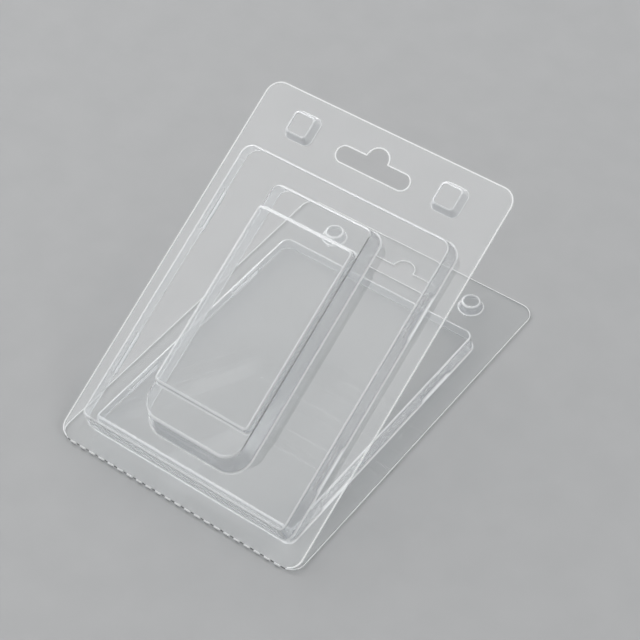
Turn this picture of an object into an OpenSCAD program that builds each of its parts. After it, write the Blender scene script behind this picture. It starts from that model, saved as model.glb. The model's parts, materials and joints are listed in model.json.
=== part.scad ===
// Clear thermoformed clamshell: a flat back leaf with a shallow plug, and a lid with a raised
// panel and a stepped product block, folded from one sheet of film at a perforated crease.
// X runs along the crease, Y from the crease to the hang edge, Z up from the table.

/* [Leaves] */
// Width of each leaf, along the crease
leaf_w = 110; // [104:1:130]
// Length of each leaf, from the crease to the hang edge
leaf_l = 156.4; // [154:0.2:180]
// Thickness of the film
film = 0.5; // [0.3:0.05:0.6]
// Corner radius of the leaves at the hang edge
hang_corner_r = 6; // [3:0.5:8]
// Corner radius of the leaves beside the crease
crease_corner_r = 5.5; // [3:0.5:7]

/* [Crease] */
// How far the lid stands open, in degrees
open_deg = 30; // [10:1:120]
// Gap between the two flanges when the lid is shut
flange_gap = 0.4; // [0.3:0.05:0.8]
// Length of each film web left between two cuts
web_l = 2.6; // [1.5:0.1:3]
// Length of each cut in the crease
web_cut = 1.9; // [1.2:0.1:3]

/* [Lid panel] */
// Flange width between the panel and the side edges
side_flange = 8; // [6:0.5:10]
// Flange width between the panel and the crease
crease_flange = 8.2; // [6:0.1:9]
// Flange width between the panel and the hang edge
hang_flange = 27.4; // [25:0.1:30]
// Height of the panel above the table side of its flange
panel_h = 9; // [8.5:0.1:12]
// Inward lean of the side and hang end walls of the panel from foot to top
panel_draft = 0.7; // [0.3:0.05:1.2]
// Inward lean of the crease end wall of the panel from foot to top
crease_draft = 1.6; // [0.5:0.1:2]
// Corner radius of the panel foot at the hang end
panel_hang_r = 5.5; // [4:0.1:7]
// Corner radius of the panel foot at the crease end
panel_crease_r = 3.4; // [3:0.1:5]

/* [Product block] */
// Width of the block where it leaves the panel
block_w = 45.2; // [38:0.2:52]
// Length of the block where it leaves the panel
block_l = 100.8; // [90:0.1:104]
// Distance from the crease end of the panel to the block
block_inset = 9.5; // [7:0.1:12]
// Height of the two end treads above the table side of the flange
tread_h = 18.7; // [16:0.1:20]
// Height of the block top above the table side of the flange
block_h = 22.7; // [21.5:0.1:28]
// Length of the tread at the crease end, with the end fillet
crease_tread = 11.2; // [6:0.1:14]
// Length of the tread at the hang end, with the end fillet
hang_tread = 10.2; // [6:0.1:14]
// Lean of the block walls, sideways for each mm of height
block_lean = 0.1; // [0.05:0.01:0.14]
// Lean of the end wall at the crease, sideways for each mm of height
nose_lean = 0.42; // [0.2:0.01:0.5]
// Corner radius of the block foot at the crease end
nose_r = 9; // [6:0.1:10]
// Corner radius of the block foot at the hang end
block_hang_r = 4.2; // [3.4:0.1:6]
// Corner radius of the upper block
step_r = 2.2; // [1.8:0.1:3]
// Ledge beside the upper block, level with the treads
step_ledge = 0.3; // [0.2:0.05:0.5]

/* [Fillets and dents] */
// Fillet at the foot of each wall
foot_fillet = 0.8; // [0.4:0.1:1]
// Fillet at the top of each wall
top_fillet = 1; // [0.5:0.1:1.2]
// Depth of the locking dents in the panel and plug walls
dent_depth = 0.6; // [0.2:0.05:0.8]
// Length of each dent
dent_l = 15.5; // [8:0.5:18]
// Length of the ramp at each end of a dent
dent_ramp = 2; // [1:0.1:3]
// Height up to which the dents keep their depth
dent_h = 4; // [3:0.1:4.4]
// Place of the dents near the crease, from the crease
crease_dent_y = 37.4; // [32:0.1:45]
// Place of the dents near the hang edge, from the hang edge
hang_dent_y = 56.4; // [50:0.1:65]

/* [Plug of the back leaf] */
// Height of the plug above the table side of its flange
plug_h = 7; // [6.5:0.1:8]
// Gap between the plug walls and the inside of the panel
plug_clear = 0.6; // [0.4:0.05:1]

/* [Snap buttons] */
// Distance between the two buttons
button_pitch = 66; // [60:0.5:74]
// Distance from the hang edge to the buttons
button_inset = 13; // [11:0.1:15]
// Width of the square socket foot in the lid
socket_w = 11.4; // [11:0.1:13]
// Height of the socket above the table side of its flange
socket_h = 4.4; // [4:0.1:6]
// Inward lean of the socket walls from foot to top
socket_draft = 0.9; // [0.5:0.05:1]
// Corner radius of the socket foot
socket_r = 2.6; // [2.4:0.1:4]
// Gap between the round stud of the back leaf and its socket
stud_clear = 0.4; // [0.3:0.05:0.8]

/* [Hang slot] */
// Length of the slot
slot_l = 32; // [26:0.5:36]
// Height of the straight part of the slot
slot_h = 6.4; // [5:0.1:8]
// Radius of the round notch over the middle of the slot
notch_r = 4.4; // [4:0.1:6]
// Height of the notch centre above the slot centre line
notch_rise = 3.6; // [1:0.1:4]
// Distance from the hang edge to the slot centre line
slot_inset = 15; // [13:0.1:17]

/* [Hidden] */

clear_film = [0.87, 0.9, 0.91, 0.5];
cut_past = 1;
corner_steps = 6;
least_corner_r = 0.2;
// Where a 45 degree line meets a quarter round, as a share of its radius
arc_mid = 1 - cos(45);

// Outer radius of the bent webs, which is also the height of the crease axis above the table
hinge_r = flange_gap / 2 + film;
// Place of the crease that puts the middle of the whole part over the origin
crease_y = (hinge_r - leaf_l) / 2;

// Plan of the panel and the block, Y from the crease
panel_half = leaf_w / 2 - side_flange;
panel_y0 = crease_flange;
panel_y1 = leaf_l - hang_flange;
block_half = block_w / 2;
block_y0 = panel_y0 + block_inset;
block_y1 = block_y0 + block_l;
tread_rise = tread_h - panel_h;
tread_y0 = block_y0 + nose_lean * tread_rise;
tread_y1 = block_y1 - block_lean * tread_rise;
step_y0 = tread_y0 + crease_tread;
step_y1 = tread_y1 - hang_tread;
tread_half = block_half - block_lean * tread_rise;

// Plan of the plug, one film and a clearance inside the panel
plug_step = film + plug_clear;
plug_half = panel_half - plug_step;
plug_y0 = panel_y0 + plug_step;
plug_y1 = panel_y1 - plug_step;
plug_share = plug_h / panel_h;

// Places along a long side where the dent ramps start and end, as shares of the panel length
dent_middles = [crease_dent_y, leaf_l - hang_dent_y];
dent_edges = [-dent_l / 2 - dent_ramp, -dent_l / 2, dent_l / 2, dent_l / 2 + dent_ramp];
dent_full = [0, 1, 1, 0];
side_stops = [
    for (middle = dent_middles, i = [0:3])
        [(middle + dent_edges[i] - panel_y0) / (panel_y1 - panel_y0), dent_full[i]]
];
side_stops_down = reversed(side_stops);

// Snap buttons and hang slot
button_y = leaf_l - button_inset;
socket_inner_half = socket_w / 2 - film;
stud_r = socket_inner_half - stud_clear;
stud_h = socket_h - film - stud_clear;
slot_y = leaf_l - slot_inset;

// Quarter round of a corner, from angle a0 on
function corner(x, y, r, a0) =
    [for (i = [0:corner_steps]) [x + r * cos(a0 + 90 * i / corner_steps),
                                 y + r * sin(a0 + 90 * i / corner_steps)]];

// Rounded rectangle from the crease end of the right side, with extra stops along both long sides
function outline(half, y0, y1, r0, r1, stops, stops_down) =
    let (c0 = max(r0, least_corner_r), c1 = max(r1, least_corner_r))
    concat(
        corner(half - c0, y0 + c0, c0, 270),
        [for (s = stops) [half - s[1], y0 + s[0] * (y1 - y0)]],
        corner(half - c1, y1 - c1, c1, 0),
        corner(c1 - half, y1 - c1, c1, 90),
        [for (s = stops_down) [s[1] - half, y0 + s[0] * (y1 - y0)]],
        corner(c0 - half, y0 + c0, c0, 180));

// The outline at height z, with the dents pressed in by a depth
function ring(half, y0, y1, r0, r1, z, dent = 0) = [
    for (p = outline(half, y0, y1, r0, r1, [for (s = side_stops) [s[0], s[1] * dent]],
                     [for (s = side_stops_down) [s[0], s[1] * dent]]))
    [p[0], p[1], z]
];

// A raised tray wall from its flange to its top, as rings from foot to top.
// share is the part of the panel height that the tray has, and so the part of the lean.
// in is how far this skin lies inside the outer one, and it lies as far below it.
function tray_rings(half, y0, y1, r0, r1, share, in) =
    let (h = panel_h * share, dent_end = dent_h + 2 * dent_depth)
    [
    for (level = [
        [film, -foot_fillet, 0, 0],
        [film + foot_fillet * arc_mid, -foot_fillet * arc_mid, 0, 0],
        [film + foot_fillet, 0, 0, dent_depth],
        [dent_h, 0, dent_h / h, dent_depth],
        [dent_end, 0, dent_end / h, 0],
        [h - top_fillet, 0, 1, 0],
        [h - top_fillet * arc_mid, top_fillet * arc_mid, 1, 0],
        [h, top_fillet, 1, 0]])
    let (
        side = level[1] + panel_draft * share * level[2] + in,
        crease = level[1] + crease_draft * share * level[2] + in)
    ring(half - side, y0 + crease, y1 - side, r0 - side, r1 - side, level[0] - in, level[3])
    ];

// The flat edge of a leaf
function outline_ring(z) =
    ring(leaf_w / 2, 0, leaf_l, crease_corner_r, hang_corner_r, z);

// One skin of the lid panel
function panel_rings(in) =
    tray_rings(panel_half, panel_y0, panel_y1, panel_crease_r, panel_hang_r, 1, in);

// One skin of the plug
function plug_rings(in) =
    tray_rings(plug_half, plug_y0, plug_y1, panel_crease_r - plug_step, panel_hang_r - plug_step,
               plug_share, in);

// One skin of the lower part of the product block, up to its treads.
// The sides keep their straight lean, and only the ends are rounded over onto the treads.
function lower_block_rings(in) = [
    for (level = [
        [panel_h, -foot_fillet, 0],
        [panel_h + foot_fillet * arc_mid, -foot_fillet * arc_mid, 0],
        [panel_h + foot_fillet, 0, 0],
        [tread_h - top_fillet, 0, 0],
        [tread_h - top_fillet * arc_mid, 0, top_fillet * arc_mid],
        [tread_h, 0, top_fillet]])
    let (
        rise = max(level[0] - panel_h - foot_fillet, 0),
        side = level[1] + block_lean * rise + in,
        end0 = level[1] + nose_lean * rise + level[2] + in,
        end1 = level[1] + block_lean * rise + level[2] + in)
    ring(block_half - side, block_y0 + end0, block_y1 - end1,
         nose_r - side - level[2], block_hang_r - side - level[2], level[0] - in)
];

// One skin of the upper part of the product block, from its treads to its top
function upper_block_rings(in) = [
    for (level = [
        [tread_h, foot_fillet * arc_mid, 0],
        [tread_h + foot_fillet, 0, 0],
        [block_h - top_fillet, 0, 0],
        [block_h - top_fillet * arc_mid, 0, top_fillet * arc_mid],
        [block_h, 0, top_fillet]])
    let (
        wall = block_lean * (level[0] - tread_h) + level[2] + in,
        r = step_r - level[2] - in)
    ring(tread_half - step_ledge - wall, step_y0 + wall - level[1], step_y1 - wall + level[1],
         r, r, level[0] - in)
];

// All points of a list of rings, one after the other
function flat(rings) = [for (r = rings) for (p = r) p];

function reversed(list) = [for (i = [len(list) - 1:-1:0]) list[i]];

// Triangles between each ring and the next, where each ring has n points
function bands(count, n) = [
    for (k = [0:count - 2], i = [0:n - 1])
        let (a = k * n + i, b = k * n + (i + 1) % n)
        each [[a, b + n, b], [a, a + n, b + n]]
];

// Triangles across one ring, in strips from its right side to its left side
function cap(first, n) = [
    for (i = [0:n / 2 - 2])
        let (a = first + i, b = first + n - 1 - i)
        each [[a, a + 1, b], [a + 1, b - 1, b]]
];

// Solid of stacked rings with flat ends, from the bottom up
module loft(rings) {
    n = len(rings[0]);
    top_cap = cap((len(rings) - 1) * n, n);
    polyhedron(flat(rings), concat(bands(len(rings), n), cap(0, n), [for (t = top_cap) reversed(t)]));
}

// Solid between an inner and an outer skin, each a list of rings from the rim to the top
module skin(inner, outer) {
    loft(concat(reversed(inner), outer));
}

// Rounded square at height z, for the sockets
function square_ring(half, r, z) = [for (p = outline(half, -half, half, r, r, [], [])) [p[0], p[1], z]];

// Outside of a socket, from inside its flange to its top
module socket_outside() {
    half = socket_w / 2;
    top_inset = socket_draft + top_fillet;
    loft([
        square_ring(half, socket_r, film / 2),
        square_ring(half - socket_draft, socket_r - socket_draft, socket_h - top_fillet),
        square_ring(half - top_inset + top_fillet * (1 - arc_mid), socket_r - socket_draft,
                    socket_h - top_fillet * arc_mid),
        square_ring(half - top_inset, socket_r - socket_draft, socket_h)]);
}

// Inside of a socket, open towards the back leaf
module socket_inside() {
    half = socket_w / 2 - film;
    r = socket_r - film;
    top = socket_h - film;
    loft([
        square_ring(half, r, -cut_past),
        square_ring(half, r, 0),
        square_ring(half - socket_draft, r - socket_draft, top - top_fillet),
        square_ring(half - socket_draft - top_fillet, r - socket_draft, top)]);
}

// Outline of the hang slot, a long round-ended bar with a round notch over its middle
module slot_outline() {
    bar_half = (slot_l - slot_h) / 2;
    translate([-bar_half, -slot_h / 2]) square([2 * bar_half, slot_h]);
    for (side = [-1, 1])
        translate([side * bar_half, 0]) circle(d = slot_h, $fn = 48);
    translate([0, notch_rise]) circle(r = notch_r, $fn = 48);
}

module slot_cut() {
    translate([0, slot_y, -cut_past])
        linear_extrude(film + 2 * cut_past) slot_outline();
}

// Puts a child at the place of each snap button
module at_buttons() {
    for (side = [-1, 1])
        translate([side * button_pitch / 2, button_y, 0]) children();
}

// Outer half section of a stud, or of its hollow when thinned by the film
module stud_section(in) {
    r = stud_r - in;
    top = film + stud_h - in;
    foot = in > 0 ? -cut_past : film / 2;
    polygon([[0, foot], [r, foot], [r - socket_draft, top - top_fillet],
             [r - socket_draft - top_fillet * arc_mid, top - top_fillet * arc_mid],
             [r - socket_draft - top_fillet, top], [0, top]]);
}

module back_leaf() {
    difference() {
        union() {
            skin(concat([outline_ring(0)], plug_rings(film)), concat([outline_ring(film)], plug_rings(0)));
            at_buttons() rotate_extrude($fn = 48) stud_section(0);
        }
        at_buttons() rotate_extrude($fn = 48) stud_section(film);
        slot_cut();
    }
}

module lid_leaf() {
    outer = concat([outline_ring(film)], panel_rings(0), lower_block_rings(0), upper_block_rings(0));
    inner = concat([outline_ring(0)], panel_rings(film), lower_block_rings(film), upper_block_rings(film));
    difference() {
        union() {
            skin(inner, outer);
            at_buttons() socket_outside();
        }
        at_buttons() socket_inside();
        slot_cut();
    }
}

// One film web, bent round the crease axis from the back flange to the lid flange
module web() {
    rotate([90, 0, 90])
        rotate([0, 0, 90 + open_deg])
            rotate_extrude(angle = 180 - open_deg, $fn = 48)
                translate([flange_gap / 2, -web_l / 2]) square([film, web_l]);
}

module back_shell() {
    color(clear_film) translate([0, crease_y, 0]) back_leaf();
}

module front_shell() {
    color(clear_film) translate([0, crease_y, hinge_r]) rotate([open_deg, 0, 0])
        translate([0, 0, flange_gap / 2]) lid_leaf();
}

module hinge_webs() {
    pitch = web_l + web_cut;
    crease_l = leaf_w - 2 * crease_corner_r;
    count = floor((crease_l + web_cut) / pitch);
    first = -(count - 1) * pitch / 2;
    color(clear_film)
        for (i = [0:count - 1])
            translate([first + i * pitch, crease_y, hinge_r]) web();
}

back_shell();
front_shell();
hinge_webs();
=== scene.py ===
# %% [markdown]
# # A clear clamshell pack
# The pack is one sheet of clear film, formed over a mould and folded at a perforated crease. The frame
# that is loaded here holds its back leaf, its lid and the webs of the crease as plain solids, in metres.
# They could be dressed as they are, but flat facets show at once in a clear, glossy film. So each one is
# modelled again with finer corners and fillets, in the same place and at the same size.

# %% Load the frame
import json
import math
from collections import namedtuple

import bmesh
import bpy
from mathutils import Matrix, Quaternion, Vector

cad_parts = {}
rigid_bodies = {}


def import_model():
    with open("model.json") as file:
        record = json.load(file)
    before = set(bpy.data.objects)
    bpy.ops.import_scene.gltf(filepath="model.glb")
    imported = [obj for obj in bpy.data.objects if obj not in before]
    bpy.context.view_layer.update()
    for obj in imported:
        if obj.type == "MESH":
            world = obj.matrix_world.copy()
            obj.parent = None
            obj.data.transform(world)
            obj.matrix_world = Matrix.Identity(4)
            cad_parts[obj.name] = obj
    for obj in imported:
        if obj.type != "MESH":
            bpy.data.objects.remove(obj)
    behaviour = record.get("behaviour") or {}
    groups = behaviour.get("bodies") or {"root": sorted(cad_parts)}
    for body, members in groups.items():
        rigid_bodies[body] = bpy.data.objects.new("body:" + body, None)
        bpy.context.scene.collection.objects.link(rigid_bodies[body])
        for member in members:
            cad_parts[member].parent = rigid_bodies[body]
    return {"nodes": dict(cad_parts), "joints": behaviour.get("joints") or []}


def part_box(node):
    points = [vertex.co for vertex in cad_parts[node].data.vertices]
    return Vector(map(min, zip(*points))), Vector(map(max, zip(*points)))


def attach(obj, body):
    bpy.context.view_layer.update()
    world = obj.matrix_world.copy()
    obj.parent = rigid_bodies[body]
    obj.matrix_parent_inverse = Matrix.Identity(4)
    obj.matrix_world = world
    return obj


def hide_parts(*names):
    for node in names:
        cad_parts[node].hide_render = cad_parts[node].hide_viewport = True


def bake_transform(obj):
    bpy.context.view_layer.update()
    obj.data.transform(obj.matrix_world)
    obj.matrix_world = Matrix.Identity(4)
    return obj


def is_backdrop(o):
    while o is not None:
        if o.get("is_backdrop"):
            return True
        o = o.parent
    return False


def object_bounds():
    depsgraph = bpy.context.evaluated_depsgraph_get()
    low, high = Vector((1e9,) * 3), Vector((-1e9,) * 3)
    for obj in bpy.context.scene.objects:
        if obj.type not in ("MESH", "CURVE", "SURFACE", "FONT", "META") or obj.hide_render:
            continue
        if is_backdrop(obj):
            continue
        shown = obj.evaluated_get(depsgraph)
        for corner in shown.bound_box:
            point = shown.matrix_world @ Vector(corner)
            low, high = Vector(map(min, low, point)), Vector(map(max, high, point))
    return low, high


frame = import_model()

cad_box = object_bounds()
bpy.ops.object.select_all(action="DESELECT")
print("nodes", sorted(frame["nodes"]), "box", [tuple(round(v, 4) for v in corner) for corner in cad_box])

# %% [markdown]
# ## Where the crease and the leaves are
# Both leaves meet at the crease, and the joint of the lid says where that is. Their width and length can
# be measured on the back leaf's solid. Everything else is a size of the film and its mould, and stands
# where it is first needed. The sheets are drawn flat, with X along the crease, Y away from it and Z up
# from the face that lies towards the other leaf, and are moved to their place when they are done.

# %% Measure the leaves
MM = 0.001
crease = Vector(frame["joints"][0]["pos_m"])
leaf_low, leaf_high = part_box("back_shell")
LEAF_W = leaf_high.x - leaf_low.x
LEAF_L = leaf_high.y - crease.y
FILM = 0.5 * MM
FLANGE_GAP = 0.4 * MM
OPEN = math.radians(30)
print(f"leaf {LEAF_W / MM:.1f} x {LEAF_L / MM:.1f} mm, crease at y {crease.y / MM:.2f} mm")

# %% [markdown]
# ## Noise in the finishes
# No real film has one even colour and gloss. Each finish here takes its small differences from a noise
# on Object coordinates, which stays in place on the piece as the lid moves. An image could do the same,
# but a noise has no pixels and no seams, and its scale is in the metres of the piece. The helpers turn
# a noise into a range of roughness, a colour between two colours, or a relief.

# %% Helpers for the finishes
NOISE_LOW = 0.3
NOISE_HIGH = 0.7


def new_finish(name):
    """A material with nodes, and its tree and main shader."""
    finish = bpy.data.materials.new(name)
    finish.use_nodes = True
    return finish, finish.node_tree, finish.node_tree.nodes["Principled BSDF"]


def add_noise(tree, scale, detail):
    """A noise in the metres of the piece, as its factor socket."""
    place = tree.nodes.new("ShaderNodeTexCoord")
    noise = tree.nodes.new("ShaderNodeTexNoise")
    noise.inputs["Scale"].default_value = scale
    noise.inputs["Detail"].default_value = detail
    tree.links.new(place.outputs["Object"], noise.inputs["Vector"])
    return noise.outputs["Fac"]


def spread(tree, factor, low, high):
    """A noise factor spread from low to high."""
    span = tree.nodes.new("ShaderNodeMapRange")
    span.inputs["From Min"].default_value = NOISE_LOW
    span.inputs["From Max"].default_value = NOISE_HIGH
    span.inputs["To Min"].default_value = low
    span.inputs["To Max"].default_value = high
    tree.links.new(factor, span.inputs["Value"])
    return span.outputs["Result"]


def tint(tree, factor, low, high):
    """A noise factor as a colour between two colours."""
    ramp = tree.nodes.new("ShaderNodeValToRGB")
    ramp.color_ramp.elements[0].position = NOISE_LOW
    ramp.color_ramp.elements[0].color = (*low, 1)
    ramp.color_ramp.elements[1].position = NOISE_HIGH
    ramp.color_ramp.elements[1].color = (*high, 1)
    tree.links.new(factor, ramp.inputs["Fac"])
    return ramp.outputs["Color"]


def add_relief(tree, shader, factor, depth, strength):
    """A bump of some depth on the shader."""
    bump = tree.nodes.new("ShaderNodeBump")
    bump.inputs["Distance"].default_value = depth
    bump.inputs["Strength"].default_value = strength
    tree.links.new(factor, bump.inputs["Height"])
    tree.links.new(bump.outputs["Normal"], shader.inputs["Normal"])


print("noise is used between", NOISE_LOW, "and", NOISE_HIGH)

# %% [markdown]
# ## Light through the film
# Clear film hardly dims a lamp, so the floor under it stays bright. A glass shader can't show that by
# itself: it bends the rays that look for lamps, so they miss them, and the film would cast the shadow of
# a solid. Light Path tells those rays from the ones that see or mirror the film. For them a plain
# transparent sheet takes the place of the glass. Only the kind of ray counts, and not where the view is.

# %% Let lamps through
def any_ray(tree, *kinds):
    """A socket that is 1 for a ray of one of these kinds and 0 for the rest."""
    path = tree.nodes.new("ShaderNodeLightPath")
    found = path.outputs[kinds[0]]
    for kind in kinds[1:]:
        either = tree.nodes.new("ShaderNodeMath")
        either.operation = "MAXIMUM"
        tree.links.new(found, either.inputs[0])
        tree.links.new(path.outputs[kind], either.inputs[1])
        found = either.outputs["Value"]
    return found


def let_light_through(tree, shader, shade):
    """Film as the floor's light meets it: a sheet that dims lamps a little and bends nothing."""
    sheet = tree.nodes.new("ShaderNodeBsdfTransparent")
    sheet.inputs["Color"].default_value = (*shade, 1)
    choice = tree.nodes.new("ShaderNodeMixShader")
    tree.links.new(any_ray(tree, "Is Shadow Ray", "Is Diffuse Ray"), choice.inputs["Fac"])
    tree.links.new(shader.outputs["BSDF"], choice.inputs[1])
    tree.links.new(sheet.outputs["BSDF"], choice.inputs[2])
    tree.links.new(choice.outputs["Shader"], tree.nodes["Material Output"].inputs["Surface"])


# %% [markdown]
# ## Flat, drawn and folded film
# The real film is clear PET. It mirrors lamps sharply and bends what is behind it a little. The sheet flows
# as it is formed, which leaves broad shallow waves and a faint haze. Where it stayed flat it is clear.
# Where it was drawn down into a wall it is stretched and a little milky. The folds round the edges of the
# mould get a much milkier finish, which is painted highlight: its pale colour stands in for the lamps
# mirrored along their fillets. One finish could change by the slope of the surface, but three finishes of
# the same make are easier to judge one by one. The index of refraction and the clearness are the same all
# over a finish, so they sit on the shader itself.

# %% Clear film
PET_INDEX = 1.57
WAVE_SCALE = 42
WAVE_DETAIL = 1
WAVE_DEPTH = 0.25 * MM
HAZE_SCALE = 260
HAZE_DETAIL = 4


def make_film_finish(name, clearness, colours, haze, shade, waviness):
    """Clear film. haze is its range of roughness, and shade is what it lets through to the floor."""
    finish, tree, shader = new_finish(name)
    waves = add_noise(tree, WAVE_SCALE, WAVE_DETAIL)
    mist = add_noise(tree, HAZE_SCALE, HAZE_DETAIL)
    shader.inputs["IOR"].default_value = PET_INDEX
    shader.inputs["Transmission Weight"].default_value = clearness
    tree.links.new(tint(tree, waves, *colours), shader.inputs["Base Color"])
    tree.links.new(spread(tree, mist, *haze), shader.inputs["Roughness"])
    add_relief(tree, shader, waves, WAVE_DEPTH, waviness)
    let_light_through(tree, shader, shade)
    return finish


FLAT_COLOURS = (0.968, 0.972, 0.972), (0.985, 0.988, 0.988)
FLAT_SHADE = 0.97, 0.973, 0.973
DRAWN_COLOURS = (0.94, 0.955, 0.97), (0.975, 0.983, 0.992)
DRAWN_SHADE = 0.87, 0.88, 0.89
flat_film = make_film_finish("flat_film", clearness=1, colours=FLAT_COLOURS, haze=(0.015, 0.045),
                             shade=FLAT_SHADE, waviness=0.1)
drawn_film = make_film_finish("drawn_film", clearness=0.88, colours=DRAWN_COLOURS, haze=(0.02, 0.05),
                              shade=DRAWN_SHADE, waviness=0.02)
# The folds' finish is painted highlight: little of it is clear, so its near-white colour shows as the
# bright lines of mirrored lamps.
fold_painted_highlight = make_film_finish("fold_painted_highlight", clearness=0.32, colours=DRAWN_COLOURS, haze=(0.04, 0.1),
                             shade=DRAWN_SHADE, waviness=0.02)
print("made", flat_film.name, drawn_film.name, "and", fold_painted_highlight.name)

# %% [markdown]
# ## Finish of the cut edges
# A steel die cuts the leaves and the slots out of the sheet. It leaves a torn, frosted edge, and light that
# runs along inside the film comes out there, so the outline is a pale line. Here that glow is painted: the
# edge faces and a narrow margin beside them get a frosted, near-white finish, part real frost and part
# painted glow. An edge glow painted by angle would slide as the view turns, so it is painted into the
# colour of these faces instead.

# %% Cut edge, frosted and painted pale
FROST_SCALE = 1500
FROST_DEPTH = 0.05 * MM


def make_frosted_finish(name, detail, clearness, colours, frost, relief):
    """Pale frosted film: stretched film gone white, and on the cut edges frost with a painted glow. frost
    is its range of roughness.
    """
    finish, tree, shader = new_finish(name)
    grain = add_noise(tree, FROST_SCALE, detail)
    shader.inputs["IOR"].default_value = PET_INDEX
    shader.inputs["Transmission Weight"].default_value = clearness
    tree.links.new(tint(tree, grain, *colours), shader.inputs["Base Color"])
    tree.links.new(spread(tree, grain, *frost), shader.inputs["Roughness"])
    if relief:
        add_relief(tree, shader, grain, FROST_DEPTH, relief)
    return finish


FROST_AND_GLOW_COLOURS = (0.93, 0.95, 0.955), (0.985, 0.99, 0.99)
# The near-white colour of the cut edge and its margin is partly real frost and partly a painted glow.
frosted_edge_and_glow = make_frosted_finish("frosted_edge_and_glow", detail=3, clearness=0.05, colours=FROST_AND_GLOW_COLOURS,
                               frost=(0.28, 0.5), relief=0.4)
print("made", frosted_edge_and_glow.name)

# %% [markdown]
# ## Drawing a formed sheet as rings
# Seen from above, every line of the mould is a rounded rectangle: the edge of a leaf, the foot of a wall,
# its top. One way would be to inset a plane again and again, but an inset shrinks the corner radii with
# it, and here each wall has its own. So each line is drawn as a ring of its own, a plane with its corners
# bevelled round and its face taken out, and each ring is bridged to the next. All rings have as many
# points, so the bridges are clean strips of quads, one below the other, as on a real drawn wall. A group
# of points remembers each ring, because an operator acts on whatever is selected.

# %% Start a sheet
SHEET_FINISHES = flat_film, frosted_edge_and_glow, drawn_film, fold_painted_highlight
EDGE_FROST_AND_GLOW = SHEET_FINISHES.index(frosted_edge_and_glow)
DRAWN_FILM = SHEET_FINISHES.index(drawn_film)
FOLD_PAINTED_HIGHLIGHT = SHEET_FINISHES.index(fold_painted_highlight)


def new_sheet(name):
    """An empty mesh with the finishes of the film, left open in edit mode."""
    bpy.ops.object.select_all(action="DESELECT")
    bpy.ops.object.add(type="MESH")
    sheet = bpy.context.object
    sheet.name = name
    sheet.data.name = name
    for finish in SHEET_FINISHES:
        sheet.data.materials.append(finish)
    bpy.ops.object.mode_set(mode="EDIT")
    bpy.ops.mesh.select_mode(type="VERT")
    return sheet


def give_finish(index):
    """Give the selected faces one of the finishes of the sheet."""
    bpy.context.object.active_material_index = index
    bpy.ops.object.material_slot_assign()


print("a sheet has", [finish.name for finish in SHEET_FINISHES])

# %% Select points and faces
def pick_points(test):
    """Select the points whose place passes a test, and nothing else."""
    bpy.ops.mesh.select_mode(type="VERT")
    bpy.ops.mesh.select_all(action="DESELECT")
    mesh = bpy.context.object.data
    edit = bmesh.from_edit_mesh(mesh)
    for point in edit.verts:
        point.select_set(test(point.co))
    edit.select_flush(True)
    bmesh.update_edit_mesh(mesh)


def pick_faces(test):
    """Select the faces that pass a test, and nothing else."""
    bpy.ops.mesh.select_mode(type="FACE")
    bpy.ops.mesh.select_all(action="DESELECT")
    mesh = bpy.context.object.data
    edit = bmesh.from_edit_mesh(mesh)
    for face in edit.faces:
        face.select_set(test(face))
    bmesh.update_edit_mesh(mesh)


def keep_as_group():
    """Remember the selected points, and say under which name."""
    bpy.ops.object.vertex_group_assign_new()
    return bpy.context.object.vertex_groups.active.name


def pick_groups(*names):
    """Select the points of some groups, and nothing else."""
    bpy.ops.mesh.select_mode(type="VERT")
    bpy.ops.mesh.select_all(action="DESELECT")
    for name in names:
        bpy.ops.object.vertex_group_set_active(group=name)
        bpy.ops.object.vertex_group_select()


# %% Draw and bridge rings
CORNER_STEPS = 10
ROUND_PROFILE = 0.5
SAME_PLACE = 0.01 * MM
Ring = namedtuple("Ring", "half y0 y1 crease_r hang_r z")


def draw_ring(ring, x=0.0):
    """One rounded rectangle of edges, from crease end to hang end."""
    middle = (x, (ring.y0 + ring.y1) / 2, ring.z)
    bpy.ops.mesh.select_all(action="DESELECT")
    bpy.ops.mesh.primitive_plane_add(size=1, location=middle)
    bpy.ops.transform.resize(value=(2 * ring.half, ring.y1 - ring.y0, 1), center_override=middle)
    for end, radius in ((ring.y0, ring.crease_r), (ring.y1, ring.hang_r)):
        corners = [Vector((x + side * ring.half, end, ring.z)) for side in (-1, 1)]
        pick_points(lambda place: min((place - corner).length for corner in corners) < SAME_PLACE)
        bpy.ops.mesh.bevel(offset=radius, segments=CORNER_STEPS, profile=ROUND_PROFILE, affect="VERTICES")
    bpy.ops.mesh.select_linked()
    group = keep_as_group()
    bpy.ops.mesh.delete(type="ONLY_FACE")
    return group


def loft(rings, x=0.0, draw=draw_ring):
    """Draw rings and bridge each one to the next. Gives the groups of the first and the last."""
    groups = []
    for ring in rings:
        groups.append(draw(ring, x))
        if len(groups) > 1:
            pick_groups(*groups[-2:])
            bpy.ops.mesh.bridge_edge_loops()
    return groups[0], groups[-1]


def close_top(group):
    """Close a ring with one flat face."""
    pick_groups(group)
    bpy.ops.mesh.edge_face_add()


print("a ring has", 4 * (CORNER_STEPS + 1), "points")

# %% [markdown]
# ## Section of a formed wall
# A mould has no sharp edges and no upright walls. Each wall starts with a small fillet at its foot, leans
# in so that the sheet can be lifted off, and ends in a fillet at its top. A Bevel modifier on a plain
# block would round every edge alike, and here foot and top differ. So the section is a list of heights.
# Each has how far the fillet moves the wall there and what share of the lean it has reached.

# %% Wall section
FILLET_STEPS = 5
FOOT_FILLET = 0.8 * MM
TOP_FILLET = 1.0 * MM


def quarter_turns():
    """Angles from level to upright, one for each step of a fillet."""
    return [math.pi / 2 * step / FILLET_STEPS for step in range(FILLET_STEPS + 1)]


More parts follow.
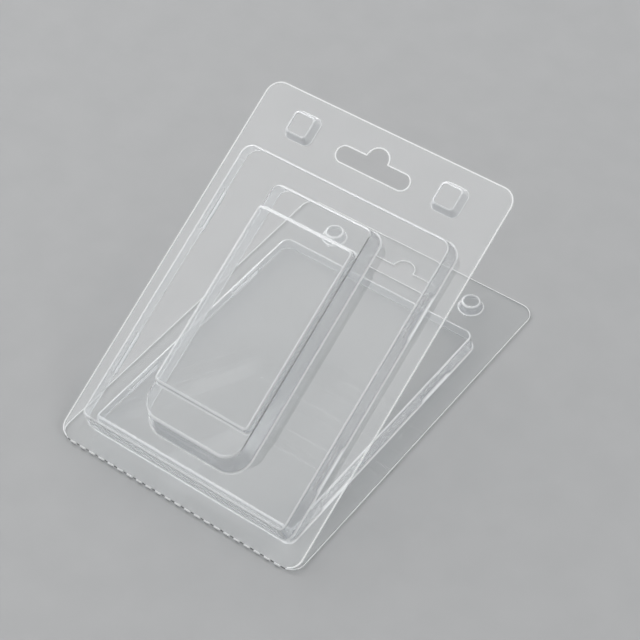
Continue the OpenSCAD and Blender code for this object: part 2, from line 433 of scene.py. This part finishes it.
def wall_section(z_foot, z_top, rows=(), foot=FOOT_FILLET, top=TOP_FILLET):
    """(height, rounding, share of the lean) from the foot of a wall to its top."""
    start = z_foot + foot
    end = z_top - top
    section = [(start - foot * math.cos(a), foot * (math.sin(a) - 1), 0) for a in quarter_turns()]
    section += [(z, 0, (z - start) / (end - start)) for z in rows]
    section += [(end + top * math.sin(a), top * (1 - math.cos(a)), 1) for a in quarter_turns()]
    return section


print("a wall has", 2 * len(quarter_turns()), "rings without its extra rows")

# %% [markdown]
# ## Rings of a raised tray
# The lid has a panel that stands up from its flange, and the back leaf has a plug that fits inside it.
# Both are trays with the same rounded outline, and their crease end leans more than their other walls. A
# plain box could be bevelled, but its walls would lean alike. Extra rows of points low on the walls are
# for the locking dents that come later.

# %% Tray of the panel
PANEL_HALF = LEAF_W / 2 - 8 * MM
PANEL_Y0 = 8.2 * MM
PANEL_Y1 = LEAF_L - 27.4 * MM
PANEL_H = 9 * MM
PANEL_DRAFT = 0.7 * MM
CREASE_DRAFT = 1.6 * MM
PANEL_HANG_R = 5.5 * MM
PANEL_CREASE_R = 3.4 * MM
DENT_H = 4 * MM
DENT_DEPTH = 0.6 * MM
DENT_END = DENT_H + 2 * DENT_DEPTH
DENT_ROWS = [FILM + FOOT_FILLET + share * (DENT_H - FILM - FOOT_FILLET) for share in (0.33, 0.67, 1)]
DENT_ROWS += [DENT_H + share * (DENT_END - DENT_H) for share in (0.25, 0.5, 0.75, 1)]


def tray_rings(half, y0, y1, crease_r, hang_r, height):
    """Rings of a raised tray, with the panel's lean for its height."""
    rings = []
    for z, rounding, share in wall_section(FILM, height, DENT_ROWS):
        lean = share * height / PANEL_H
        side = rounding + PANEL_DRAFT * lean
        crease_side = rounding + CREASE_DRAFT * lean
        rings.append(Ring(half - side, y0 + crease_side, y1 - side, crease_r - side, hang_r - side, z))
    return rings


panel_rings = tray_rings(PANEL_HALF, PANEL_Y0, PANEL_Y1, PANEL_CREASE_R, PANEL_HANG_R, PANEL_H)
print("the panel has", len(panel_rings), "rings")

# %% [markdown]
# ## The lid's flange and panel
# The flange is the flat rim that the die cuts round. Its outline is one ring, and a second ring just inside
# it ends the pale margin, which is partly frosted film and partly a painted glow that stands in for light
# coming out at the cut. The margin could be a pattern in the finish, but faces of its own give it a clean
# line. Its last ring is left open, because the product
# block stands on it.

# %% Flange and panel of the lid
LEAF_HANG_R = 6 * MM
LEAF_CREASE_R = 5.5 * MM
LID_MARGIN = 0.5 * MM


def edge_ring(inset):
    """The outline of a leaf, or a line that runs inside it."""
    return Ring(LEAF_W / 2 - inset, inset, LEAF_L - inset, LEAF_CREASE_R - inset, LEAF_HANG_R - inset, FILM)


def draw_edge(margin):
    """The margin of a leaf: pale all round, as frost and painted glow, but clear along the crease, where a
    blade slit it.
    """
    loft([edge_ring(0), edge_ring(margin)])
    pick_faces(lambda face: face.calc_center_median().y > margin)
    give_finish(EDGE_FROST_AND_GLOW)


lid_film = new_sheet("lid_film")
draw_edge(LID_MARGIN)
_, panel_top = loft([edge_ring(LID_MARGIN)] + panel_rings)
print("lid sheet has", len(bmesh.from_edit_mesh(lid_film.data).verts), "points with its panel")

# %% [markdown]
# ## The product block
# A stepped block stands on the panel and holds the product. Its lower part has a leaning nose towards the
# crease, and a flat tread at each end. Between the treads it goes up one more step. The side walls run
# through with only a narrow ledge, so the lower part is rounded over at its ends and not along its sides.
# A bridge between rings as different as the panel's and the block's would twist, so the flats are filled.

# %% Lower part of the block
BLOCK_HALF = 22.6 * MM
BLOCK_Y0 = PANEL_Y0 + 9.5 * MM
BLOCK_Y1 = BLOCK_Y0 + 100.8 * MM
TREAD_H = 18.7 * MM
BLOCK_LEAN = 0.1
NOSE_LEAN = 0.42
NOSE_R = 9 * MM
BLOCK_HANG_R = 4.2 * MM


def lower_block_rings():
    """Rings from the panel to the treads."""
    rings = []
    for z, rounding, share in wall_section(PANEL_H, TREAD_H):
        rise = max(z - PANEL_H - FOOT_FILLET, 0)
        end_round = rounding if share else 0
        side = BLOCK_LEAN * rise + (rounding if not share else 0)
        nose = NOSE_LEAN * rise + rounding
        hang = side + end_round
        rings.append(Ring(BLOCK_HALF - side, BLOCK_Y0 + nose, BLOCK_Y1 - hang,
                          NOSE_R - side - end_round, BLOCK_HANG_R - side - end_round, z))
    return rings


block_foot, tread_edge = loft(lower_block_rings())
print("treads drawn at", round(TREAD_H / MM, 2), "mm")

# %% Upper part of the block
BLOCK_H = 22.7 * MM
STEP_R = 2.2 * MM
STEP_LEDGE = 0.3 * MM
CREASE_TREAD = 11.2 * MM
HANG_TREAD = 10.2 * MM
tread_rise = TREAD_H - PANEL_H


def upper_block_rings():
    """Rings from the treads to the top of the block."""
    half = BLOCK_HALF - BLOCK_LEAN * tread_rise - STEP_LEDGE
    y0 = BLOCK_Y0 + NOSE_LEAN * tread_rise + CREASE_TREAD
    y1 = BLOCK_Y1 - BLOCK_LEAN * tread_rise - HANG_TREAD
    rings = []
    for z, rounding, share in wall_section(TREAD_H, BLOCK_H):
        foot_round = 0 if share else rounding
        wall = BLOCK_LEAN * (z - TREAD_H) + (rounding if share else 0)
        rings.append(Ring(half - wall, y0 + wall + foot_round, y1 - wall - foot_round,
                          STEP_R - wall, STEP_R - wall, z))
    return rings


def fill_between(*groups):
    """Fill the flat space between outlines that lie at one height."""
    pick_groups(*groups)
    bpy.ops.mesh.fill(use_beauty=True)


step_foot, block_top = loft(upper_block_rings())
fill_between(panel_top, block_foot)
fill_between(tread_edge, step_foot)
close_top(block_top)
print("block drawn, top at", round(BLOCK_H / MM, 2), "mm")

# %% [markdown]
# ## Locking dents
# Four shallow dents in the long walls of the lid catch the same dents in the back leaf. A boolean with a
# rounded block would leave hard edges. Instead the walls are bisected across at the ends of each dent, so
# that there are points for its ramps, and those points are pressed in along a smooth step.

# %% Dents
DENT_L = 15.5 * MM
DENT_RAMP = 2 * MM
DENT_MIDDLES = (37.4 * MM, LEAF_L - 56.4 * MM)
RAMP_STEPS = 6
WALL_REACH = 2 * MM
LEVEL_FACE = 0.999


def smooth_step(share):
    """From 0 to 1 with no corner at either end."""
    share = min(max(share, 0), 1)
    return share * share * (3 - 2 * share)


def dent_depth(place):
    """How far a point of a long wall is pressed in."""
    reach = min(abs(place.y - middle) for middle in DENT_MIDDLES) - DENT_L / 2
    up = smooth_step((place.z - FILM) / FOOT_FILLET)
    up *= 1 - smooth_step((place.z - DENT_H) / (DENT_END - DENT_H))
    return DENT_DEPTH * up * (1 - smooth_step(reach / DENT_RAMP))


def press_dents(half):
    """Cut the long walls of a tray at the dents' ramps and press the dents in."""
    def on_wall(place):
        beside = half - WALL_REACH < abs(place.x) < half + FOOT_FILLET + SAME_PLACE
        return beside and place.z < DENT_END + SAME_PLACE

    def is_wall(face):
        return all(on_wall(point.co) for point in face.verts) and abs(face.normal.z) < LEVEL_FACE

    for middle in DENT_MIDDLES:
        for side in (-1, 1):
            for step in range(RAMP_STEPS + 1):
                y = middle + side * (DENT_L / 2 + DENT_RAMP * step / RAMP_STEPS)
                pick_faces(is_wall)
                bpy.ops.mesh.bisect(plane_co=(0, y, 0), plane_no=(0, 1, 0))
    mesh = bpy.context.object.data
    edit = bmesh.from_edit_mesh(mesh)
    for point in edit.verts:
        if on_wall(point.co):
            point.co.x -= math.copysign(dent_depth(point.co), point.co.x)
    bmesh.update_edit_mesh(mesh)


press_dents(PANEL_HALF)
print("lid sheet has", len(bmesh.from_edit_mesh(lid_film.data).verts), "points with its dents")

# %% [markdown]
# ## Hang slot
# The flange at the hang edge has a slot for a display hook. A boolean could cut it out of the finished
# film, but that leaves long thin faces. Its outline is drawn as it would be with a compass: one point is
# spun round the end of the bar, drawn along to the notch, spun round that, and so on back to the start.
# Spin turns clockwise about its axis, so an axis that points down makes it turn as a compass does on paper.
# A second line round the first one ends the pale margin, frosted by the die and painted as a glow.

# %% Hang slot outline
SLOT_L = 32 * MM
SLOT_H = 6.4 * MM
NOTCH_R = 4.4 * MM
NOTCH_RISE = 3.6 * MM
SLOT_Y = LEAF_L - 15 * MM
SLOT_STEPS = 20
NOTCH_STEPS = 24
NOTCH_EASE = 0.4 * MM
EASE_STEPS = 3


def turn_compass(x, y, angle, steps):
    """Draw on round a centre from the selected point."""
    bpy.ops.mesh.spin(steps=steps, angle=angle, center=(x, y, FILM), axis=(0, 0, -1))


def draw_slot_line(margin):
    """The outline of the hang slot in the flange, or a line that runs round it, as a group."""
    bar_half = (SLOT_L - SLOT_H) / 2
    rise = SLOT_H / 2 + margin
    notch_half = math.sqrt((NOTCH_R + margin) ** 2 - (rise - NOTCH_RISE) ** 2)
    notch_turn = math.pi + 2 * math.atan2(NOTCH_RISE - rise, notch_half)
    first = Vector((bar_half, SLOT_Y - rise, FILM))
    last = Vector((-bar_half, SLOT_Y - rise, FILM))
    along = {"value": (notch_half - bar_half, 0, 0)}
    bpy.ops.mesh.select_mode(type="VERT")
    bpy.ops.mesh.select_all(action="DESELECT")
    bpy.ops.mesh.primitive_plane_add(size=MM, location=first)
    bpy.ops.mesh.merge(type="CENTER")
    turn_compass(bar_half, SLOT_Y, math.pi, SLOT_STEPS)
    bpy.ops.mesh.extrude_region_move(TRANSFORM_OT_translate=along)
    turn_compass(0, SLOT_Y + NOTCH_RISE, notch_turn, NOTCH_STEPS)
    bpy.ops.mesh.extrude_region_move(TRANSFORM_OT_translate=along)
    turn_compass(-bar_half, SLOT_Y, math.pi, SLOT_STEPS)
    pick_points(lambda place: min((place - first).length, (place - last).length) < SAME_PLACE)
    bpy.ops.mesh.edge_face_add()
    inner = [Vector((side * notch_half, SLOT_Y + rise, FILM)) for side in (-1, 1)]
    pick_points(lambda place: min((place - corner).length for corner in inner) < SAME_PLACE)
    if not margin:
        bpy.ops.mesh.bevel(offset=NOTCH_EASE, segments=EASE_STEPS, profile=ROUND_PROFILE, affect="VERTICES")
    bpy.ops.mesh.select_linked()
    return keep_as_group()


def draw_slot(margin):
    """The slot with its pale margin of frost and painted glow. Gives the outer line as a group."""
    outer_line = draw_slot_line(margin)
    fill_between(draw_slot_line(0), outer_line)
    give_finish(EDGE_FROST_AND_GLOW)
    return outer_line


lid_slot = draw_slot(LID_MARGIN)
print("slot outline drawn as", lid_slot)

# %% [markdown]
# ## Snap sockets
# Beside the slot the lid has two square sockets that snap over the back leaf's studs. They are small
# walls like the others, so they are drawn as rings too. The flange's own face is then taken out, and the
# space between its edges, the slot and the feet of the sockets is filled again. The fill leaves holes
# where the inner outlines are, so no boolean is needed.

# %% Square sockets of the lid
BUTTON_X = 33 * MM
BUTTON_Y = LEAF_L - 13 * MM
SOCKET_HALF = 5.7 * MM
SOCKET_H = 4.4 * MM
SOCKET_R = 2.6 * MM
SOCKET_DRAFT = 0.9 * MM
BUTTON_FOOT = 0.5 * MM


def socket_rings():
    """Rings of a square socket, from the flange to its top."""
    rings = []
    for z, rounding, share in wall_section(FILM, SOCKET_H, foot=BUTTON_FOOT):
        half = SOCKET_HALF - rounding - SOCKET_DRAFT * share
        radius = SOCKET_R - SOCKET_DRAFT * share - min(rounding, 0)
        rings.append(Ring(half, BUTTON_Y - half, BUTTON_Y + half, radius, radius, z))
    return rings


def draw_buttons(rings, draw=draw_ring):
    """A button on each side of the slot. Gives the groups of their feet."""
    feet = []
    for side in (-1, 1):
        foot, top = loft(rings, x=side * BUTTON_X, draw=draw)
        close_top(top)
        feet.append(foot)
    return feet


def fill_hang_flange(panel_end, *outlines):
    """Take out the flange's face at the hang edge and fill it again round the outlines."""
    def is_hang_face(face):
        middle = face.calc_center_median()
        inside = panel_end + MM < middle.y < LEAF_L - MM
        return abs(middle.x) < SAME_PLACE and inside and len(face.verts) == 4

    pick_faces(is_hang_face)
    rim = keep_as_group()
    bpy.ops.mesh.delete(type="ONLY_FACE")
    fill_between(rim, *outlines)


socket_feet = draw_buttons(socket_rings())
fill_hang_flange(PANEL_Y1, lid_slot, *socket_feet)
print("lid sheet has", len(bmesh.from_edit_mesh(lid_film.data).faces), "faces with its sockets and slot")

# %% [markdown]
# ## Thickness of the film
# So far the lid is a skin with no thickness. A second skin could be drawn inside it, but the Solidify
# modifier does that by itself, inwards from the outer skin, so that the size stays as measured. Normals are
# made to agree first, because the modifier follows them. Its rim faces take the finish of the margin that
# they end. Then the faces that aren't level get their finish: narrow sloping strips are folds, which get a
# milky finish that paints the highlights of the lamps on them, the rest is drawn film, and the walls of
# small deep buttons may get that painted highlight too.

# %% Thicken a sheet
MERGE_UNDER = SAME_PLACE / 10
FLAT_ABOVE = math.cos(math.radians(10))
WALL_BELOW = math.cos(math.radians(78))
FOLD_STRIP = 0.45 * MM


def thicken(sheet):
    """Make an open sheet a film of real thickness."""
    bpy.ops.mesh.select_mode(type="VERT")
    bpy.ops.mesh.select_all(action="SELECT")
    bpy.ops.mesh.remove_doubles(threshold=MERGE_UNDER)
    bpy.ops.mesh.normals_make_consistent(inside=False)
    edit = bmesh.from_edit_mesh(sheet.data)
    highest = max(edit.faces, key=lambda face: face.calc_center_median().z)
    if highest.normal.z < 0:
        bpy.ops.mesh.flip_normals()
    bpy.ops.object.mode_set(mode="OBJECT")
    bpy.ops.object.vertex_group_remove(all=True)
    wall = sheet.modifiers.new("film", "SOLIDIFY")
    wall.thickness = FILM
    wall.offset = -1
    wall.use_even_offset = True
    wall.use_quality_normals = True
    bpy.ops.object.modifier_apply(modifier=wall.name)


def finish_slopes(sheet, button_wall):
    """Give folds and walls their finishes. button_wall is the one for the walls of the buttons."""
    for face in sheet.data.polygons:
        if face.material_index != EDGE_FROST_AND_GLOW and abs(face.normal.z) < FLAT_ABOVE:
            points = [sheet.data.vertices[index].co for index in face.vertices]
            longest = max((points[index] - points[index - 1]).length for index in range(len(points)))
            is_fold = abs(face.normal.z) > WALL_BELOW and face.area / longest < FOLD_STRIP
            wall_finish = button_wall if face.center.y > PANEL_Y1 + MM else DRAWN_FILM
            face.material_index = FOLD_PAINTED_HIGHLIGHT if is_fold else wall_finish


thicken(lid_film)
# The lid's socket walls take the folds' finish, so their bright outline is painted highlight.
finish_slopes(lid_film, button_wall=FOLD_PAINTED_HIGHLIGHT)
print("lid has", sum(face.material_index == FOLD_PAINTED_HIGHLIGHT for face in lid_film.data.polygons), "fold faces")

# %% [markdown]
# ## Putting the lid in its place
# The lid stands open at the crease. The object could keep its turn, but the finishes read the object's
# own coordinates, so the turn goes into the mesh. Smooth shading alone would let the fillets bend the
# light on the flat faces beside them, which a mirror-like film shows at once. A Weighted Normal modifier
# keeps the flats flat. A closed film has two faces at every edge, so the edges are counted.

# %% Place the lid
SMOOTH_UNDER = math.radians(40)


def place_leaf(sheet, location, turn):
    """Put the turn and the place of a finished leaf into its mesh, and shade it."""
    sheet.location = location
    sheet.rotation_euler.x = turn
    bpy.ops.object.transform_apply(location=True, rotation=True, scale=True)
    bpy.ops.object.shade_smooth_by_angle(angle=SMOOTH_UNDER)
    flat = sheet.modifiers.new("flat", "WEIGHTED_NORMAL")
    flat.keep_sharp = True
    bpy.ops.object.modifier_apply(modifier=flat.name)


def count_open_edges(sheet):
    """How many edges don't have two faces."""
    edges = {}
    for face in sheet.data.polygons:
        for key in face.edge_keys:
            edges[key] = edges.get(key, 0) + 1
    return sum(count != 2 for count in edges.values())


lid_up = Vector((0, -math.sin(OPEN), math.cos(OPEN)))
place_leaf(lid_film, crease + lid_up * FLANGE_GAP / 2, OPEN)
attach(lid_film, "lid")
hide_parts("front_shell")
print(lid_film.name, len(lid_film.data.polygons), "faces,", count_open_edges(lid_film), "open edges")

# %% [markdown]
# ## The back leaf
# The back leaf has the same outline. A plug stands up from it that fits inside the lid's panel with a
# little room all round, with dents that line up with the lid's. The lid could be copied and changed, but
# its own rings make the plug at once. The die came into the sheet from what is now the outside, so the pale
# margin of frost and painted glow is wide on the lid and narrow on this leaf's inner face.

# %% Flange and plug of the back leaf
BACK_MARGIN = 0.22 * MM
PLUG_CLEAR = 0.6 * MM
PLUG_STEP = FILM + PLUG_CLEAR
PLUG_H = 7 * MM
plug_half = PANEL_HALF - PLUG_STEP
plug_end = PANEL_Y1 - PLUG_STEP
plug_rings = tray_rings(plug_half, PANEL_Y0 + PLUG_STEP, plug_end, PANEL_CREASE_R - PLUG_STEP,
                        PANEL_HANG_R - PLUG_STEP, PLUG_H)
back_film = new_sheet("back_film")
draw_edge(BACK_MARGIN)
_, plug_top = loft([edge_ring(BACK_MARGIN)] + plug_rings)
close_top(plug_top)
press_dents(plug_half)
print("back sheet has", len(bmesh.from_edit_mesh(back_film.data).verts), "points with its plug")

# %% [markdown]
# ## Snap studs
# The back leaf's studs are round, to slip into the square sockets, so their rings are circles. Each could
# be a cylinder with bevelled ends, but rings give it the same fillets as every other wall. The leaf lies
# flat on the table, so it only moves to the crease.

# %% Studs and slot of the back leaf
STUD_CLEAR = 0.4 * MM
STUD_R = SOCKET_HALF - FILM - STUD_CLEAR
STUD_H = SOCKET_H - STUD_CLEAR
STUD_POINTS = 48
RoundRing = namedtuple("RoundRing", "radius z")


def draw_round_ring(ring, x):
    """One circle of edges at the place of a stud."""
    middle = (x, BUTTON_Y, ring.z)
    bpy.ops.mesh.select_all(action="DESELECT")
    bpy.ops.mesh.primitive_circle_add(vertices=STUD_POINTS, radius=ring.radius, location=middle)
    return keep_as_group()


stud_section = wall_section(FILM, STUD_H, foot=BUTTON_FOOT)
stud_rings = [RoundRing(STUD_R - rounding - SOCKET_DRAFT * share, z) for z, rounding, share in stud_section]
stud_feet = draw_buttons(stud_rings, draw=draw_round_ring)
fill_hang_flange(plug_end, draw_slot(BACK_MARGIN), *stud_feet)
thicken(back_film)
finish_slopes(back_film, button_wall=DRAWN_FILM)
place_leaf(back_film, Vector((0, crease.y, 0)), 0)
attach(back_film, "base")
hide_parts("back_shell")
print(back_film.name, len(back_film.data.polygons), "faces,", count_open_edges(back_film), "open edges")

# %% [markdown]
# ## Webs of the perforated crease
# A row of cuts along the crease leaves short webs of film that bend when the lid moves. Bent film goes
# milky where it is stretched, which is why the crease shows as a row of pale dashes. A strip could be bent
# with a modifier, but a turn round the crease is exact: one web is drawn as the end face of the film and
# spun from the back leaf to the lid. An Array modifier makes the row. The webs are bent to the lid's
# present opening and are not attached to either leaf.

# %% Whitened film
STRETCHED_COLOURS = (0.9, 0.92, 0.925), (0.98, 0.985, 0.985)
whitened_film = make_frosted_finish("whitened_film", detail=2, clearness=0.1, colours=STRETCHED_COLOURS,
                                    frost=(0.2, 0.45), relief=0)
print("made", whitened_film.name)

# %% One web
WEB_L = 2.6 * MM
WEB_CUT = 1.9 * MM
BEND_STEPS = 14
web_pitch = WEB_L + WEB_CUT
web_count = int((LEAF_W - 2 * LEAF_CREASE_R + WEB_CUT) / web_pitch)
web_foot = Vector((-(web_count - 1) * web_pitch / 2, crease.y, FILM / 2))

bpy.ops.object.select_all(action="DESELECT")
bpy.ops.mesh.primitive_plane_add(size=1, location=web_foot, rotation=(math.pi / 2, 0, 0))
crease_webs = bpy.context.object
crease_webs.name = "crease_webs"
crease_webs.data.name = "crease_webs"
crease_webs.data.materials.append(whitened_film)
bpy.ops.object.transform_apply(location=True, rotation=True, scale=True)
bpy.ops.object.mode_set(mode="EDIT")
bpy.ops.mesh.select_all(action="SELECT")
bpy.ops.transform.resize(value=(WEB_L, 1, FILM), center_override=web_foot)
bpy.ops.mesh.spin(steps=BEND_STEPS, angle=math.pi - OPEN, center=crease, axis=(1, 0, 0))
bpy.ops.mesh.select_all(action="SELECT")
bpy.ops.mesh.normals_make_consistent(inside=False)
bpy.ops.object.mode_set(mode="OBJECT")
print("one web has", len(crease_webs.data.polygons), "faces")

# %% Row of webs
row = crease_webs.modifiers.new("row", "ARRAY")
row.count = web_count
row.use_relative_offset = False
row.use_constant_offset = True
row.constant_offset_displace = (web_pitch, 0, 0)
bpy.ops.object.modifier_apply(modifier=row.name)
bpy.ops.object.shade_smooth_by_angle(angle=SMOOTH_UNDER)
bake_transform(crease_webs)
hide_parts("hinge_webs")
print(web_count, "webs,", len(crease_webs.data.polygons), "faces")

# %% [markdown]
# ## Floor
# Clear film shows by what it mirrors and bends, so what is round it matters as much as its finish. A flat
# plane would end in a dark horizon. The floor is a wide pale bowl instead, so that every view has the same
# plain ground behind it. It lies a hair below the film, because film that touched it all over would look
# wet.

# %% Floor
FLOOR_R = 2.6
FLOOR_POINTS = 96
FLOOR_WALL = 1.1
FLOOR_ROUND = 0.8
FLOOR_ROUND_STEPS = 12
FLOOR_GRAIN_SCALE = 60
FLOOR_GRAIN_DETAIL = 2
FLOOR_COLOURS = (0.44, 0.445, 0.45), (0.455, 0.46, 0.465)
FLOOR_ROUGHNESS = 0.9
FLOOR_GLOSS = 0.1
AIR_GAP = 0.3 * MM
floor_finish, floor_tree, floor_shader = new_finish("pale_floor")
floor_shader.inputs["Roughness"].default_value = FLOOR_ROUGHNESS
floor_shader.inputs["Specular IOR Level"].default_value = FLOOR_GLOSS
floor_grain = add_noise(floor_tree, FLOOR_GRAIN_SCALE, FLOOR_GRAIN_DETAIL)
floor_tree.links.new(tint(floor_tree, floor_grain, *FLOOR_COLOURS), floor_shader.inputs["Base Color"])

bpy.ops.object.select_all(action="DESELECT")
bpy.ops.mesh.primitive_circle_add(vertices=FLOOR_POINTS, radius=FLOOR_R, fill_type="NGON",
                                  location=(0, 0, -AIR_GAP))
floor = bpy.context.object
floor.name = "floor"
floor.data.materials.append(floor_finish)
bpy.ops.object.mode_set(mode="EDIT")
bpy.ops.mesh.select_mode(type="EDGE")
bpy.ops.mesh.select_all(action="SELECT")
bpy.ops.mesh.extrude_edges_move(TRANSFORM_OT_translate={"value": (0, 0, FLOOR_WALL)})
pick_points(lambda place: place.z < FLOOR_WALL / 2)
bpy.ops.mesh.bevel(offset=FLOOR_ROUND, segments=FLOOR_ROUND_STEPS, profile=ROUND_PROFILE, affect="EDGES")
bpy.ops.object.mode_set(mode="OBJECT")
bpy.ops.object.shade_smooth_by_angle(angle=SMOOTH_UNDER)
floor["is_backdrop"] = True
print("floor", len(floor.data.polygons), "faces")

# %% [markdown]
# ## Lamps
# A fold in clear film mirrors a lamp as a bright line, so the outlines of the pack are drawn by the
# lamps. One big lamp overhead would leave most folds dark. Six soft ones stand round the pack instead,
# each with its long side along the edges that it lights. They are large and dim, because level film
# mirrors a lamp whole when the view is opposite it, and a small bright one would burn out there.

# %% Lamps
LAMPS_AIM = Vector((0, 0, 0.03))
LAMP_DISTANCE = 1.9
ALONG_CREASE = (1, 0, 0)
ALONG_SIDE = (0, 1, 0)


def add_softbox(name, direction, along, length, width, glow):
    """A soft lamp that looks at the pack, its long side along an axis. glow is how bright its face is."""
    way = Vector(direction).normalized()
    across = way.cross(Vector(along)).normalized()
    turn = Matrix((across.cross(way), across, way)).transposed().to_euler()
    bpy.ops.object.light_add(type="AREA", location=LAMPS_AIM + way * LAMP_DISTANCE, rotation=turn)
    lamp = bpy.context.object
    lamp.name = name
    lamp.data.shape = "RECTANGLE"
    lamp.data.size = length
    lamp.data.size_y = width
    lamp.data.energy = glow * math.pi * length * width
    lamp.visible_camera = False
    print(name, "at", [round(v, 2) for v in lamp.location], "with", round(lamp.data.energy, 1), "W")


add_softbox("top_softbox", (-0.41, -0.36, 0.84), ALONG_CREASE, length=1.27, width=1.0, glow=1.1)
add_softbox("overhead_strip", (-0.41, 0.22, 0.88), ALONG_CREASE, length=1.2, width=0.55, glow=3.8)
add_softbox("back_softbox", (-0.41, 0.78, 0.46), ALONG_CREASE, length=2.0, width=0.9, glow=1.3)
add_softbox("left_softbox", (-0.8, 0.15, 0.5), ALONG_SIDE, length=2.2, width=0.9, glow=2)
add_softbox("right_softbox", (0.62, 0.14, 0.77), ALONG_SIDE, length=2.4, width=0.7, glow=3.2)
add_softbox("front_softbox", (-0.41, -0.74, 0.5), ALONG_CREASE, length=1.9, width=0.9, glow=2)

# %% [markdown]
# ## World
# Above the bowl's rim the film would mirror an empty, dark world and show it as grey bands. A brighter
# world would light the pack from all sides and wash out its folds. So it is as pale as the floor only for
# rays that see it, mirror it or come through the film, and stays dim as a light.

# %% World
WORLD_GLOW = 0.05
BACKGROUND_GLOW = 0.5
WORLD_COLOUR = (0.96, 0.98, 1)
world = bpy.data.worlds.new("studio")
world.use_nodes = True
sky_tree = world.node_tree
sky = sky_tree.nodes["Background"]
sky.inputs["Color"].default_value = (*WORLD_COLOUR, 1)
level = sky_tree.nodes.new("ShaderNodeMapRange")
level.inputs["To Min"].default_value = WORLD_GLOW
level.inputs["To Max"].default_value = BACKGROUND_GLOW
seen = any_ray(sky_tree, "Is Camera Ray", "Is Glossy Ray", "Is Transmission Ray")
sky_tree.links.new(seen, level.inputs["Value"])
sky_tree.links.new(level.outputs["Result"], sky.inputs["Strength"])
bpy.context.scene.world = world
print("world glows", WORLD_GLOW, "as a light and", BACKGROUND_GLOW, "where it is seen")

# %% [markdown]
# ## Camera
# The photograph looks down on the pack from the front right, about 37 degrees round and 47 degrees up,
# through a long lens. The camera could be turned by hand until the outlines agree, but two points fix its
# line of sight exactly. A small roll makes up for a camera that was not held quite level.

# %% Camera
CAMERA_AT = Vector((312.07, -403.39, 572.61)) * MM
CAMERA_AIM = Vector((15.93, -10.02, 47.29)) * MM
CAMERA_ROLL = math.radians(-0.69)
CAMERA_LENS = 113.18
SENSOR_WIDTH = 36
sight = (CAMERA_AIM - CAMERA_AT).normalized()
roll = Quaternion((0, 0, 1), CAMERA_ROLL)
bpy.ops.object.camera_add(location=CAMERA_AT)
camera = bpy.context.object
camera.data.lens = CAMERA_LENS
camera.data.sensor_width = SENSOR_WIDTH
camera.rotation_euler = (sight.to_track_quat("-Z", "Y") @ roll).to_euler()
bpy.context.scene.camera = camera
bpy.context.scene.view_settings.view_transform = "Standard"
print("camera", [round(math.degrees(turn), 1) for turn in camera.rotation_euler])

# %% [markdown]
# ## Size
# The dressed pack is meant to keep the size of the frame. Both boxes are printed.

# %% Print the sizes and finish
boxes = {"cad": cad_box, "visual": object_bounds()}
for name, box in boxes.items():
    print(name, [[round(v / MM, 2) for v in corner] for corner in box], "mm")
